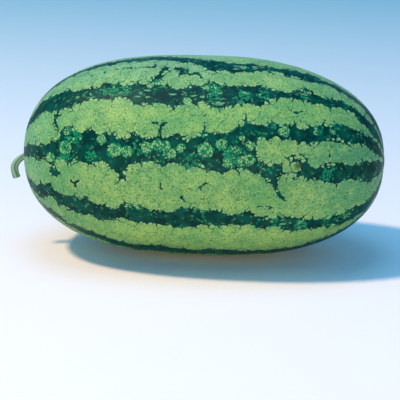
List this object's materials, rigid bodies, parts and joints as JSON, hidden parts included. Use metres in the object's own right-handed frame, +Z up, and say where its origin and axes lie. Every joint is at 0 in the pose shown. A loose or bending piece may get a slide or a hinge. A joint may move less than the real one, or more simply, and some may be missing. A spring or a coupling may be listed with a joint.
{
  "type": "watermelon",
  "caption": "Whole oblong watermelon with dark and light green striped rind and a short hooked stem, lying on its side on a small flat spot.",
  "frame": {"origin": "on the small flat spot that the fruit rests on, under its widest girth", "axes": "+X along the fruit's axis towards the blossom end, with the stem end at -X; +Z up; +Y across the fruit"},
  "size_m": [0.3956, 0.212, 0.2108],
  "materials": {
    "rind": "waxy satin, jagged dark green stripes on light green",
    "stem": "matt, ridged green stalk with a dry cut end"
  },
  "bodies": {
    "root": {"fruit": "rind", "stem": "stem"}
  },
  "joints": []
}
